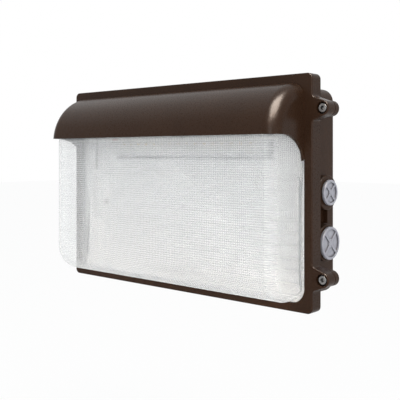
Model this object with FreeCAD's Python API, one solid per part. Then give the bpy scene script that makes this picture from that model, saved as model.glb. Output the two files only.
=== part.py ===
"""Outdoor wall pack light: a cast housing on the wall and a side-hinged door with its hood and glass lens.

Frame: the wall is the plane y = 0 and the light faces -Y, +Z is up and +X is to the right as it is seen
from the front. The origin is the middle of the wire entry on the housing's back.
Depths named *_depth are measured backwards from the front plane of the door.
"""
import FreeCAD
import Part
import math
import os

V = FreeCAD.Vector
ACROSS = V(1, 0, 0)
BACK = V(0, 1, 0)
UP = V(0, 0, 1)

# modelling allowances
near = 1e-4                 # tolerance for picking edges by place
beyond = 1.0                # how far cutting shapes run past what they cut
overlap = 0.5               # how far fused shapes reach into each other

# door casting
door_width = 362.0
door_height = 235.0
door_thickness = 15.5
door_plate = 3.5
door_skirt = 3.5
door_corner = 6.0
door_edge_round = 1.2
stand_off = 64.0            # wall to the front plane of the door

# hood on the door
hood_side_inset = 9.5       # door's side to the hood's end
hood_radius = 56.5
hood_centre_depth = 6.0
hood_top_inset = 8.5        # door's top to the top of the hood's curve
hood_lip_rise = 4.5         # lip above the middle of that curve
hood_end_round = 14.0
hood_wall = 3.0
cheek_reach = 35.0          # how far forward the hood's end starts to drop
cheek_drop = 25.4           # how far it drops by the time it reaches the door
hood_below_cheek = 12.0     # how far the uncut form runs below the cheek

# glass lens
lens_side_inset = 13.5      # door's side to the glass
lens_bottom_inset = 10.7    # door's bottom to the glass
lens_hood_gap = 3.5         # air between the glass and the inside of the hood
lens_wall = 3.5
lens_bottom_round = 33.0
lens_end_round = 12.0
lens_flange_lap = 2.4       # flange beyond the door's opening
lens_flange = 4.0
lens_flange_corner = 20.0
lens_gasket_thickness = 1.0
lens_gasket_setback = 0.3
lens_side_gap = 4.5         # opening edge to the glass at the sides
lens_bottom_gap = 1.7
opening_corner = 15.0
opening_step_rise = 1.4     # above the cheek's foot the opening is as narrow as the hood's inside

# lens retaining frame and door gasket
retainer_sheet = 2.5
retainer_inner_inset = 10.0  # inwards from the outside of the housing
retainer_edge_gap = 0.6
retainer_play = 0.2
retainer_corner = 2.0
retainer_hole_corner = 9.0
retainer_hole_sunk = 1.5    # how far the posts' holes run into the door's plate
land_width = 10.0
land_height = 3.3
land_lap = 2.0              # land beyond the outside of the housing
gasket_width = 5.0
gasket_groove = 2.0
gasket_side_gap = 0.2
parting_gap = 1.0

# housing casting
case_side_inset = 14.0
case_top_inset = 11.0
case_wall = 3.0
case_rim = 6.0
case_corner = 14.0
case_back_round = 2.0
wire_entry_radius = 11.1
box_hole_spacing = 88.9
box_hole_radius = 2.75
wall_hole_side_inset = 32.0
wall_hole_end_inset = 36.5
wall_hole_radius = 3.4

# screw ears on the right
ear_end_inset = 34.8        # door's top or bottom to a screw's axis
root_pick = 1.5             # tolerance for finding the edges where an ear starts
ear_reach = 10.5            # screw axis beyond the door's side
ear_tip_radius = 7.6
ear_root_half = 12.5
ear_root_round = 4.0
ear_thickness = 12.7
lug_gap = 0.8
lug_back_depth = 20.0
lug_side_gap = 1.0
lug_root_round = 5.0
lug_root_half = 11.5
ear_bury = 2.0              # how far an ear starts inside the side it grows from

# captive door screws
screw_radius = 2.5
screw_head_radius = 4.4
screw_head_height = 5.0
screw_socket_flat = 4.0
screw_socket_depth = 2.6
screw_tip_depth = 19.4
counterbore_radius = 6.0
counterbore_depth = 7.2
ear_hole_radius = 3.0
lug_hole_radius = 3.1
washer_thickness = 0.8
washer_radius = 5.6
washer_play = 0.1
screw_head_round = 0.6
screw_tip_chamfer = 0.7

# hinges on the left
hinge_reach = 9.0           # hinge axis beyond the door's side
knuckle_radius = 5.2
hinge_pin_radius = 2.0
hinge_running_gap = 0.08
centre_knuckle = 12.0
outer_knuckle = 6.0
knuckle_gap = 0.4
pin_head_radius = 3.2
pin_head_height = 1.4
pin_head_round = 0.5
pin_tail = 0.6              # pin beyond the lowest knuckle
knuckle_bury = 1.0          # how far a knuckle's web reaches into its casting

# conduit entries and their plugs on the right
entry_depth = 41.0
entry_face_inset = 7.0      # boss face inside the door's side
upper_entry_height = -0.9
lower_entry_height = -52.2
upper_plug_radius = 13.0
lower_plug_radius = 16.7
upper_boss_radius = 17.8
lower_boss_radius = 19.0
upper_shank_radius = 10.4
lower_shank_radius = 13.1
shank_length = 9.0
shank_gap = 0.3
shank_wall = 2.0
plug_seal = 1.0
plug_flange = 2.8
plug_recess = 1.2
plug_rim = 2.6
plug_rib = 2.6
plug_rib_setback = 0.3
plug_rim_round = 0.7
plug_hub_share = 0.27       # hub radius as a share of the flange's
seal_setback = 0.8
boss_round = 1.0
core_out = 5.0              # pocket cast between the two bosses
core_out_back_depth = 51.5
core_out_front_depth = 31.5

# white reflector
reflector_sheet = 1.0
reflector_edge_gap = 1.0
reflector_rim_depth = 19.0
reflector_floor_depth = 27.3
reflector_foot_depth = 16.0
reflector_hole_depth = 9.0
reflector_step_drop = 18.0  # below the heat sink
reflector_step_fall = 8.0
reflector_slope_rise = 56.5  # where the foot's slope starts, above the housing's bottom
reflector_post_inset = 17.0
reflector_post_top_inset = 14.5
reflector_post_drop = 34.0  # lower posts below the step
window_gap = 4.0

# light engine
heatsink_side_inset = 49.0
heatsink_top_inset = 18.5
heatsink_height = 52.0
heatsink_plate = 3.0
heatsink_foot = 11.0
heatsink_screw_inset = 22.0
board_depth = 10.6
board_thickness = 1.6
board_edge = 6.0            # heat sink beyond the board
chip_size = 3.5
chip_height = 0.9
chip_columns = 16
chip_edge = 13.0            # board's end to the first chip
chip_row_pitch = 12.0
board_screw_step = 7        # chips between two columns of screws

# power supply and wiring
driver_depth = 26.0
driver_height = 40.0
driver_side_inset = 67.0
driver_terminal_gap = 44.0
driver_bottom_inset = 64.5  # housing's bottom to the middle of driver and terminal block
driver_tab = 12.0
driver_tab_thickness = 1.5
driver_corner = 2.0
terminal_size = (36.0, 18.0, 22.0)
terminal_side_inset = 75.0
terminal_poles = 3
clamp_funnel = 2.4
clamp_radius = 2.2
clamp_hole_depth = 6.0
clamp_sunk = 1.5
wire_hole_depth = 6.0
wire_in_block = 4.0
holding_head_gap = 0.4
holding_floor = 4.0         # plastic left under the block's holding screw
ground_side_inset = 33.0
ground_drop = 6.0           # below the middle of the terminal block
ground_tag = 1.0
ground_tag_radius = 4.2
pad_height = 4.0
pad_radius = 5.0
pad_hole_depth = 4.4
pad_screw_reach = 3.6
lead_radius = 1.1
lead_gap = 0.1
lead_touch = 0.05
lead_bend_share = 0.45      # share of the shorter run that a bend takes up
wire_run = 12.5             # usual length of a wire's straight bits
wire_bow = 3.0              # how far a wire bows aside

# small screws: shank radius, head radius, head height
small_screw = (1.5, 2.5, 1.6)
medium_screw = (2.0, 3.8, 2.2)
screw_hole_gap = 0.2
screw_end_gap = 1.0         # hole left beyond a screw's tip
head_dome = 0.6             # shares of the head's height or radius
slot_depth = 0.55
slot_reach = 0.6
slot_width = 0.8


def y_at(depth):
    """The y of a depth behind the door's front plane."""
    return depth - stand_off


case_half = door_width / 2 - case_side_inset
case_half_z = door_height / 2 - case_top_inset
hood_half_width = door_width / 2 - hood_side_inset
hood_centre_height = door_height / 2 - hood_top_inset - hood_radius
hood_lip_height = hood_centre_height + hood_lip_rise
lens_half_width = door_width / 2 - lens_side_inset
lens_bottom = lens_bottom_inset - door_height / 2
lens_reach = hood_radius - hood_wall - lens_hood_gap - hood_centre_depth
opening_step_height = hood_lip_height - cheek_drop + opening_step_rise
ear_height = door_height / 2 - ear_end_inset
wall_hole_x = case_half - wall_hole_side_inset
wall_hole_z = case_half_z - wall_hole_end_inset
case_front = y_at(door_thickness + parting_gap)
case_inside = -case_wall
parting = y_at(door_thickness)
ear_x = door_width / 2 + ear_reach
hinge_x = -(door_width / 2 + hinge_reach)
hinge_y = y_at(door_thickness + parting_gap / 2)
entry_y = y_at(entry_depth)
entry_face = door_width / 2 - entry_face_inset
opening_half = lens_half_width + lens_side_gap
opening_bottom = lens_bottom - lens_bottom_gap
opening_upper_half = hood_half_width - hood_wall
opening_top = hood_centre_height + math.sqrt((hood_radius - hood_wall) ** 2 - hood_centre_depth ** 2)
flange_front = y_at(door_plate + lens_gasket_thickness)
flange_back = flange_front + lens_flange
flange_half = opening_half + lens_flange_lap
flange_bottom = opening_bottom - lens_flange_lap
flange_top = opening_top + lens_flange_lap
retainer_front = flange_back + retainer_play
retainer_back = retainer_front + retainer_sheet
land_back = retainer_back + land_height
plate_front = y_at(board_depth + board_thickness)
heatsink_half_width = case_half - heatsink_side_inset
heatsink_top = case_half_z - heatsink_top_inset
heatsink_bottom = heatsink_top - heatsink_height
heatsink_screw_x = heatsink_half_width - heatsink_screw_inset
lamp_height = (heatsink_top + heatsink_bottom) / 2
chip_pitch = 2 * (heatsink_half_width - board_edge - chip_edge) / (chip_columns - 1)
chip_rows = [lamp_height + i * chip_row_pitch for i in (-1, 0, 1)]
board_screw_columns = [i * board_screw_step * chip_pitch for i in (-1, 0, 1)]
board_screw_rows = [lamp_height + i * chip_row_pitch / 2 for i in (-1, 1)]
reflector_step_top = heatsink_bottom - reflector_step_drop
reflector_step_bottom = reflector_step_top - reflector_step_fall
reflector_slope_top = reflector_slope_rise - case_half_z
reflector_post_x = case_half - reflector_post_inset
reflector_upper_post_z = case_half_z - reflector_post_top_inset
reflector_lower_post_z = reflector_step_bottom - reflector_post_drop
supply_height = driver_bottom_inset - case_half_z
terminal_centre = (case_half - terminal_side_inset, supply_height)
ground_place = (case_half - ground_side_inset, supply_height - ground_drop)
driver_left = driver_side_inset - case_half
driver_right = terminal_centre[0] - terminal_size[0] / 2 - driver_terminal_gap
pad_face = case_inside - pad_height
holding_seat = pad_face - holding_floor
retainer_hole_bottom = y_at(door_plate - retainer_hole_sunk)
ear_heights = (ear_height, -ear_height)


def block(x0, x1, y0, y1, z0, z1):
    """An axis-aligned box between two corners."""
    return Part.makeBox(x1 - x0, y1 - y0, z1 - z0, V(x0, y0, z0))


def rod(radius, start, along, length):
    """A cylinder from a start point along a direction."""
    return Part.makeCylinder(radius, length, start, along)


def disc_y(radius, x, z, y0, y1):
    """A cylinder about a line along Y, between two values of y."""
    return rod(radius, V(x, y0, z), BACK, y1 - y0)


def rounded_slab(half, bottom, top, y0, y1, radius):
    """A slab in the XZ plane with rounded corners, between two values of y."""
    slab = block(-half, half, y0, y1, bottom, top)
    corners = [e for e in slab.Edges if abs(e.tangentAt(e.FirstParameter).y) > 0.9]
    return slab.makeFillet(radius, corners)


def frame_ring(half, half_z, width, y0, y1, radius):
    """A rectangular ring with rounded corners, centred on the origin."""
    outer = rounded_slab(half, -half_z, half_z, y0, y1, radius)
    inner = rounded_slab(half - width, width - half_z, half_z - width, y0 - beyond, y1 + beyond,
                         radius - width)
    return outer.cut(inner)


def edges_at_y(shape, y):
    """The edges that lie wholly in the plane of one y."""
    return [e for e in shape.Edges if all(abs(v.Y - y) < near for v in e.Vertexes) and
            abs(e.CenterOfMass.y - y) < near]


def group(shapes):
    """Several separate solids as one shape."""
    return Part.makeCompound(shapes)


def joined(shapes):
    """One fused solid with its coplanar faces merged."""
    return shapes[0].multiFuse(shapes[1:]).removeSplitter()


def side_profile(edges, half):
    """Extrude a closed outline of the YZ plane from -half to +half along X."""
    prism = Part.Face(Part.Wire(edges)).extrude(V(2 * half, 0, 0))
    prism.translate(V(-half, 0, 0))
    return prism


def at(depth, z):
    """A point of the YZ plane."""
    return V(0, y_at(depth), z)


def line(a, b):
    return Part.makeLine(a, b)


def arc(a, middle, b):
    return Part.Arc(a, middle, b).toShape()


def round_edge_at(shape, x):
    """The one full circle that lies in the plane of an x."""
    return [e for e in shape.Edges if abs(e.CenterOfMass.x - x) < near and len(e.Vertexes) == 1][0]


def prism_across(corners, x0, x1):
    """A prism along X between two values of x, from a closed outline of the YZ plane."""
    face = Part.Face(Part.makePolygon(corners + [corners[0]]))
    prism = face.extrude(V(x1 - x0, 0, 0))
    prism.translate(V(x0, 0, 0))
    return prism


def end_edges(prism, half, back_y):
    """The outline edges of both end faces, apart from the one in the back plane."""
    found = []
    for e in prism.Edges:
        corners_on_end = all(abs(abs(v.X) - half) < near for v in e.Vertexes)
        middle_on_end = abs(abs(e.CenterOfMass.x) - half) < near
        in_back = all(abs(v.Y - back_y) < near for v in e.Vertexes)
        if corners_on_end and middle_on_end and not in_back:
            found.append(e)
    return found


def hood_solid(inset, back_depth):
    """The hood's outer form, or its inside when it is inset by the wall."""
    radius = hood_radius - inset
    half = hood_half_width - inset
    front = hood_centre_depth - radius
    low = hood_lip_height - cheek_drop - hood_below_cheek
    top = hood_centre_height + math.sqrt(radius ** 2 - (hood_centre_depth - back_depth) ** 2)
    diagonal = radius * math.cos(math.pi / 4)
    middle = at(hood_centre_depth - diagonal, hood_centre_height + diagonal)
    outline = [
        line(at(back_depth, low), at(front, low)),
        line(at(front, low), at(front, hood_centre_height)),
        arc(at(front, hood_centre_height), middle, at(back_depth, top)),
        line(at(back_depth, top), at(back_depth, low)),
    ]
    prism = side_profile(outline, half)
    rounded = [e for e in end_edges(prism, half, y_at(back_depth))
               if not all(abs(v.Z - low) < near for v in e.Vertexes)]
    return prism.makeFillet(hood_end_round - inset, rounded)


def hood_mouth():
    """What is cut away under the hood's lip: level in front, dropping in a quarter ellipse at the ends."""
    lip = hood_lip_height
    low = lip - cheek_drop
    floor_z = low - hood_radius
    ellipse = Part.Ellipse(at(0, low), at(-cheek_reach, lip), at(-cheek_reach, low))
    outline = [
        line(at(-hood_radius, lip), at(-cheek_reach, lip)),
        ellipse.toShape(0, math.pi / 2),
        line(at(0, low), at(0, floor_z)),
        line(at(0, floor_z), at(-hood_radius, floor_z)),
        line(at(-hood_radius, floor_z), at(-hood_radius, lip)),
    ]
    return side_profile(Part.__sortEdges__(outline), door_width)


def ear_outline(root_x, root_half, z):
    """Teardrop outline of a screw ear in the XZ plane at y = 0, from its root to the round tip."""
    away_x = root_x - ear_x
    distance = math.hypot(away_x, root_half)
    touch_angle = math.atan2(root_half, away_x) - math.acos(ear_tip_radius / distance)
    touch_x = ear_x + ear_tip_radius * math.cos(touch_angle)
    touch_rise = ear_tip_radius * math.sin(touch_angle)
    corners = [V(root_x, 0, z - root_half), V(touch_x, 0, z - touch_rise),
               V(touch_x, 0, z + touch_rise), V(root_x, 0, z + root_half)]
    edges = [
        line(corners[0], corners[1]),
        arc(corners[1], V(ear_x + ear_tip_radius, 0, z), corners[2]),
        line(corners[2], corners[3]),
        line(corners[3], corners[0]),
    ]
    return Part.Face(Part.Wire(edges))


def ear_solid(root_x, root_half, z, y0, y1):
    face = ear_outline(root_x, root_half, z)
    face.translate(V(0, y0, 0))
    return face.extrude(V(0, y1 - y0, 0))


def root_edges(shape, x, z, half):
    """The edges along Y where an ear leaves a side wall."""
    found = []
    for e in shape.Edges:
        straight = len(e.Vertexes) == 2 and abs(e.tangentAt(e.FirstParameter).y) > 0.999
        at_wall = abs(e.CenterOfMass.x - x) < root_pick / 4
        at_root = abs(abs(e.CenterOfMass.z - z) - half) < root_pick
        if straight and at_wall and at_root:
            found.append(e)
    return found


def knuckle(z0, z1, web_x, web_y0, web_y1, hole_radius):
    """One hinge knuckle with the web that carries it."""
    barrel = rod(knuckle_radius, V(hinge_x, hinge_y, z0), UP, z1 - z0)
    web = block(hinge_x, web_x, web_y0, web_y1, z0, z1)
    hole = rod(hole_radius, V(hinge_x, hinge_y, z0 - beyond), UP, z1 - z0 + 2 * beyond)
    return barrel.fuse(web).cut(hole)


def retainer_screw_places():
    """Where the lens retainer is screwed to the door: four corners and two along the top."""
    corner_x = door_width / 2 - door_skirt - door_corner
    corner_z = door_height / 2 - door_skirt - door_corner
    top_z = (flange_top + door_height / 2 - door_skirt) / 2
    places = [(sx * corner_x, sz * corner_z) for sx in (-1, 1) for sz in (-1, 1)]
    return places + [(sx * door_width / 6, top_z) for sx in (-1, 1)]


def door_slab():
    """The door's plate, skirt and ears as one solid, before anything is cut out of it."""
    half = door_width / 2
    half_z = door_height / 2
    front = y_at(0)
    ear_back = y_at(ear_thickness)
    slab = rounded_slab(half, -half_z, half_z, front, ear_back, door_corner)
    ears = [ear_solid(half - ear_bury, ear_root_half, z, front, ear_back) for z in ear_heights]
    slab = joined([slab] + ears)
    roots = [e for z in ear_heights for e in root_edges(slab, half, z, ear_root_half)]
    slab = slab.makeFillet(ear_root_round, roots)
    slab = slab.makeFillet(door_edge_round, edges_at_y(slab, front))
    rear = rounded_slab(half, -half_z, half_z, ear_back - beyond, parting, door_corner)
    return joined([slab, rear])


def door_cavity():
    """The hollow behind the door's plate, inside its skirt."""
    half_z = door_height / 2 - door_skirt
    return rounded_slab(door_width / 2 - door_skirt, -half_z, half_z, y_at(door_plate), parting + beyond,
                        door_corner - door_skirt)


def door_opening(front, back, slip):
    """The opening for the glass: wide below, and only as wide as the hood's inside above the step."""
    lower = rounded_slab(opening_half + slip, opening_bottom - slip, door_height, front, back, opening_corner)
    lower = lower.common(block(-door_width, door_width, front, back, -door_height, opening_step_height))
    upper = rounded_slab(opening_upper_half + slip, 0, opening_top + slip, front, back,
                         hood_end_round - hood_wall)
    return lower.fuse(upper)


def hood_shell():
    """The hood as a shell that grows out of the door's plate, level at the lip with cheeks at its ends."""
    root = y_at(door_plate / 2)
    shell = hood_solid(0, door_plate / 2).cut(hood_solid(hood_wall, door_plate)).cut(hood_mouth())
    above_step = block(-door_width, door_width, -2 * stand_off, root, opening_step_height, door_height)
    ahead = block(-door_width, door_width, -2 * stand_off, y_at(0), -door_height, door_height)
    return shell.common(above_step.fuse(ahead))


def door_knuckles():
    """The two outer knuckles of each hinge, which belong to the door."""
    inner = centre_knuckle / 2 + knuckle_gap
    made = []
    for z in ear_heights:
        for z0 in (z + inner, z - inner - outer_knuckle):
            made.append(knuckle(z0, z0 + outer_knuckle, knuckle_bury - door_width / 2,
                                hinge_y - knuckle_radius, parting, hinge_pin_radius + hinge_running_gap))
    return made


def door_frame():
    """The door casting: plate, skirt, ears, hood, hinge knuckles and the posts for the lens retainer."""
    posts = [disc_y(small_screw[1], x, z, y_at(door_plate) - overlap, retainer_front)
             for x, z in retainer_screw_places()]
    body = door_slab().cut(door_cavity()).multiFuse(posts)
    body = body.cut(door_opening(y_at(0) - beyond, y_at(door_plate) + overlap, 0))
    body = body.fuse(hood_shell())
    for z in ear_heights:
        body = body.cut(disc_y(counterbore_radius, ear_x, z, y_at(0) - beyond, y_at(counterbore_depth)))
        body = body.cut(disc_y(ear_hole_radius, ear_x, z, y_at(0) - beyond, parting))
    body = body.multiFuse(door_knuckles())
    for x, z in retainer_screw_places():
        body = body.cut(disc_y(small_screw[0], x, z, retainer_hole_bottom, retainer_front + beyond))
    return body.removeSplitter()


def lens_solid(inset, back_depth):
    """The outside of the glass bowl, or its inside when it is inset by the wall."""
    half = lens_half_width - inset
    front = inset - lens_reach
    bottom = lens_bottom + inset
    low_round = lens_bottom_round - inset
    top_radius = hood_centre_depth + lens_reach - inset
    back_top = hood_centre_height + math.sqrt(top_radius ** 2 - (hood_centre_depth - back_depth) ** 2)
    low_shift = low_round * (1 - math.cos(math.pi / 4))
    diagonal = top_radius * math.cos(math.pi / 4)
    outline = [
        line(at(back_depth, bottom), at(front + low_round, bottom)),
        arc(at(front + low_round, bottom), at(front + low_shift, bottom + low_shift),
            at(front, bottom + low_round)),
        line(at(front, bottom + low_round), at(front, hood_centre_height)),
        arc(at(front, hood_centre_height), at(hood_centre_depth - diagonal, hood_centre_height + diagonal),
            at(back_depth, back_top)),
        line(at(back_depth, back_top), at(back_depth, bottom)),
    ]
    prism = side_profile(outline, half)
    return prism.makeFillet(lens_end_round - inset, end_edges(prism, half, y_at(back_depth)))


def lens():
    """The glass: a deep bowl with a flat flange that is held behind the door's plate."""
    flange_depth = flange_back + stand_off
    flange = rounded_slab(flange_half, flange_bottom, flange_top, flange_front, flange_back,
                          lens_flange_corner)
    outside = lens_solid(0, flange_depth)
    inside = lens_solid(lens_wall, flange_depth + beyond)
    return outside.fuse(flange).cut(inside).removeSplitter()


def lens_gasket():
    """The flat gasket between the door's plate and the flange of the glass."""
    y0 = y_at(door_plate)
    outer = rounded_slab(flange_half, flange_bottom, flange_top, y0, flange_front, lens_flange_corner)
    inner = door_opening(y0 - beyond, flange_front + beyond, lens_gasket_setback)
    return outer.cut(inner).removeSplitter()


def lens_retainer():
    """The frame that holds the glass from behind, with the land that the door gasket sits in."""
    half = door_width / 2 - door_skirt - retainer_edge_gap
    half_z = door_height / 2 - door_skirt - retainer_edge_gap
    outer = rounded_slab(half, -half_z, half_z, retainer_front, retainer_back, retainer_corner)
    land = frame_ring(case_half + land_lap, case_half_z + land_lap, land_width, retainer_back - overlap,
                      land_back, case_corner + land_lap)
    hole_half = case_half - retainer_inner_inset
    hole_half_z = case_half_z - retainer_inner_inset
    hole = rounded_slab(hole_half, -hole_half_z, hole_half_z, retainer_front - beyond, land_back + beyond,
                        retainer_hole_corner)
    groove = rim_ring(gasket_width + 2 * gasket_side_gap, land_back - gasket_groove, land_back + beyond)
    body = outer.fuse(land).cut(hole).cut(groove)
    for x, z in retainer_screw_places():
        body = body.cut(disc_y(small_screw[0] + screw_hole_gap, x, z, retainer_front - beyond,
                               retainer_back + beyond))
    return body.removeSplitter()


def rim_ring(width, y0, y1):
    """A ring of a given width that follows the middle of the housing's rim."""
    half = case_half - case_rim / 2 + width / 2
    half_z = case_half_z - case_rim / 2 + width / 2
    return frame_ring(half, half_z, width, y0, y1, case_corner - case_rim / 2 + width / 2)


def door_gasket():
    """The sponge gasket in the retainer's groove, pressed on the housing's rim when the door is shut."""
    return rim_ring(gasket_width, land_back - gasket_groove, case_front)


def pan_screw(kind, x, y_seat, z, length):
    """A cross-slotted screw whose head sits in front of y_seat and whose shank runs back along +Y."""
    shank_radius, head_radius, head_height = kind
    head_front = y_seat - head_height
    head = disc_y(head_radius, x, z, head_front, y_seat)
    head = head.makeFillet(head_height * head_dome, edges_at_y(head, head_front))
    arm = head_radius * slot_reach
    thin = slot_width / 2
    slot_floor = head_front + head_height * slot_depth
    upright = block(x - thin, x + thin, head_front - beyond, slot_floor, z - arm, z + arm)
    level = block(x - arm, x + arm, head_front - beyond, slot_floor, z - thin, z + thin)
    shank = disc_y(shank_radius, x, z, y_seat - overlap, y_seat + length)
    return head.cut(upright.fuse(level)).fuse(shank)


def retainer_screws():
    """Screws that go forward through the retainer into the door's posts."""
    length = retainer_back - retainer_hole_bottom - screw_end_gap
    made = []
    for x, z in retainer_screw_places():
        facing_front = pan_screw(small_screw, x, retainer_back, z, length)
        made.append(facing_front.mirror(V(0, retainer_back, 0), BACK))
    return group(made)


def case_boss(height, radius):
    """A round boss on the right side of the housing, its rim rounded."""
    start = case_half - case_wall
    boss = rod(radius, V(start, entry_y, height), ACROSS, entry_face - start)
    return boss.makeFillet(boss_round, [round_edge_at(boss, entry_face)])


def entry_bore(height, shank):
    """The hole for a plug's shank, right through the boss and the wall behind it."""
    start = case_half - case_wall - shank_length
    return rod(shank + shank_gap, V(start, entry_y, height), ACROSS, entry_face - start + beyond)


def case_body():
    """The housing's outside with the lugs that the door screws enter."""
    outer = rounded_slab(case_half, -case_half_z, case_half_z, case_front, 0, case_corner)
    outer = outer.makeFillet(case_back_round, edges_at_y(outer, 0.0))
    root_x = case_half - ear_bury
    lug_back = y_at(lug_back_depth)
    lugs = [ear_solid(root_x, lug_root_half, z, case_front, lug_back) for z in ear_heights]
    body = joined([outer] + lugs)
    roots = [e for z in ear_heights for e in root_edges(body, case_half, z, lug_root_half)]
    body = body.makeFillet(lug_root_round, roots)
    lug_front = y_at(ear_thickness + lug_gap)
    outside_door = block(door_width / 2 + lug_side_gap, door_width, lug_front, case_front + beyond,
                         -door_height, door_height)
    for z in ear_heights:
        nose = ear_solid(root_x, lug_root_half, z, lug_front, case_front + beyond)
        body = body.fuse(nose.common(outside_door))
    return body


def case_hollow():
    """The inside of the housing, narrower at the mouth where the gasket's rim is."""
    radius = case_corner - case_wall
    wide = rounded_slab(case_half - case_wall, case_wall - case_half_z, case_half_z - case_wall,
                        case_front + case_wall, case_inside, radius)
    mouth = rounded_slab(case_half - case_rim, case_rim - case_half_z, case_half_z - case_rim,
                         case_front - beyond, case_front + case_wall + beyond, case_corner - case_rim)
    return wide, mouth


def entries_pocket():
    """The pocket cast into the right side between the two bosses, and the liner that closes it inside."""
    top = upper_entry_height - upper_boss_radius
    bottom = lower_entry_height + lower_boss_radius
    front = y_at(core_out_front_depth)
    back = y_at(core_out_back_depth)
    floor_x = case_half - core_out
    liner = block(floor_x - case_wall, case_half - case_wall + overlap, front - case_wall, back + case_wall,
                  bottom - case_wall, top + case_wall)
    pocket = block(floor_x, case_half + beyond, front, back, bottom, top)
    return liner, pocket


def tapped_pads():
    """Where the low pads on the housing's back wall stand."""
    return heatsink_screw_places() + driver_screw_places() + [terminal_centre, ground_place]


def reflector_depth(z):
    """The depth of the reflector's front face at one of its screws."""
    return reflector_rim_depth if z > 0 else reflector_floor_depth


def case_posts():
    """Posts for the reflector and low pads for everything screwed to the back wall."""
    start = case_inside + overlap
    posts = [disc_y(pad_radius, x, z, y_at(reflector_depth(z) + reflector_sheet), start)
             for x, z in reflector_screw_places()]
    return posts + [disc_y(pad_radius, x, z, pad_face, start) for x, z in tapped_pads()]


def case_holes():
    """Tapped holes in the posts and pads, the lugs' holes and the holes through the back wall."""
    radius = medium_screw[0]
    holes = [disc_y(radius, x, z, y_at(reflector_depth(z)), y_at(reflector_depth(z)) + reflector_hole_depth)
             for x, z in reflector_screw_places()]
    holes += [disc_y(radius, x, z, pad_face - beyond, pad_face + pad_hole_depth) for x, z in tapped_pads()]
    holes += [disc_y(lug_hole_radius, ear_x, z, y_at(ear_thickness), y_at(lug_back_depth) + beyond)
              for z in ear_heights]
    inside = case_inside - beyond
    holes.append(disc_y(wire_entry_radius, 0, 0, inside, beyond))
    holes += [disc_y(box_hole_radius, sx * box_hole_spacing / 2, 0, inside, beyond) for sx in (-1, 1)]
    holes += [disc_y(wall_hole_radius, sx * wall_hole_x, sz * wall_hole_z, inside, beyond)
              for sx in (-1, 1) for sz in (-1, 1)]
    return holes


def back_housing():
    """The housing casting that is screwed to the wall, with its bosses, posts, lugs and hinge knuckles."""
    wide, mouth = case_hollow()
    liner, pocket = entries_pocket()
    body = case_body().cut(wide).cut(mouth)
    body = body.fuse(case_boss(upper_entry_height, upper_boss_radius))
    body = body.fuse(case_boss(lower_entry_height, lower_boss_radius))
    body = body.fuse(liner).cut(pocket)
    body = body.cut(entry_bore(upper_entry_height, upper_shank_radius))
    body = body.cut(entry_bore(lower_entry_height, lower_shank_radius))
    body = body.multiFuse(case_posts())
    for z in ear_heights:
        body = body.fuse(knuckle(z - centre_knuckle / 2, z + centre_knuckle / 2, knuckle_bury - case_half,
                                 case_front, hinge_y + knuckle_radius, hinge_pin_radius))
    for hole in case_holes():
        body = body.cut(hole)
    return body


def hinge_pin(z):
    """A headed pin, driven into the housing's knuckle and running in the door's two knuckles."""
    reach = centre_knuckle / 2 + knuckle_gap + outer_knuckle
    head_z = z + reach + knuckle_gap
    tail_z = z - reach - pin_tail
    pin = rod(hinge_pin_radius, V(hinge_x, hinge_y, tail_z), UP, head_z - tail_z + overlap)
    head = rod(pin_head_radius, V(hinge_x, hinge_y, head_z), UP, pin_head_height)
    rim = [e for e in head.Edges if abs(e.CenterOfMass.z - head_z - pin_head_height) < near]
    return pin.fuse(head.makeFillet(pin_head_round, rim)).removeSplitter()


def screw_washer(z):
    """The black washer between a door screw's head and the floor of its counterbore."""
    y1 = y_at(counterbore_depth)
    y0 = y1 - washer_thickness
    ring = disc_y(washer_radius, ear_x, z, y0, y1)
    return ring.cut(disc_y(screw_radius + washer_play, ear_x, z, y0 - beyond, y1 + beyond))


def door_screw(z):
    """A socket head cap screw with its head in the ear's counterbore."""
    head_back = y_at(counterbore_depth) - washer_thickness
    head_front = head_back - screw_head_height
    tip = y_at(screw_tip_depth)
    head = disc_y(screw_head_radius, ear_x, z, head_front, head_back)
    head = head.makeFillet(screw_head_round, edges_at_y(head, head_front))
    corner = screw_socket_flat / math.sqrt(3)
    angles = [math.pi / 3 * i for i in range(7)]
    hexagon = [V(ear_x + corner * math.cos(a), head_front - beyond, z + corner * math.sin(a)) for a in angles]
    socket = Part.Face(Part.makePolygon(hexagon)).extrude(V(0, screw_socket_depth + beyond, 0))
    shank = disc_y(screw_radius, ear_x, z, head_back - overlap, tip)
    shank = shank.makeChamfer(screw_tip_chamfer, edges_at_y(shank, tip))
    return head.cut(socket).fuse(shank).removeSplitter()


def conduit_plug(height, flange_radius, shank_radius):
    """A round plug: a flange with a recessed, cross-ribbed face on a hollow threaded shank."""
    seat = entry_face + plug_seal
    face = seat + plug_flange
    floor_x = face - plug_recess
    flange = rod(flange_radius, V(seat, entry_y, height), ACROSS, plug_flange)
    flange = flange.makeFillet(plug_rim_round, [round_edge_at(flange, face)])
    reach = flange_radius - plug_rim
    recess = rod(reach, V(floor_x, entry_y, height), ACROSS, plug_recess + beyond)
    ribs = [rod(flange_radius * plug_hub_share, V(floor_x - overlap, entry_y, height), ACROSS, plug_recess)]
    for turn in (45, 135):
        rib = block(floor_x - overlap, face - plug_rib_setback, entry_y - reach, entry_y + reach,
                    height - plug_rib / 2, height + plug_rib / 2)
        rib.rotate(V(face, entry_y, height), ACROSS, turn)
        ribs.append(rib)
    start = entry_face - shank_length
    shank = rod(shank_radius, V(start, entry_y, height), ACROSS, seat + overlap - start)
    hollow = rod(shank_radius - shank_wall, V(start - beyond, entry_y, height), ACROSS, seat - start + beyond)
    body = flange.cut(recess).multiFuse(ribs)
    return body.fuse(shank.cut(hollow)).removeSplitter()


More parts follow.
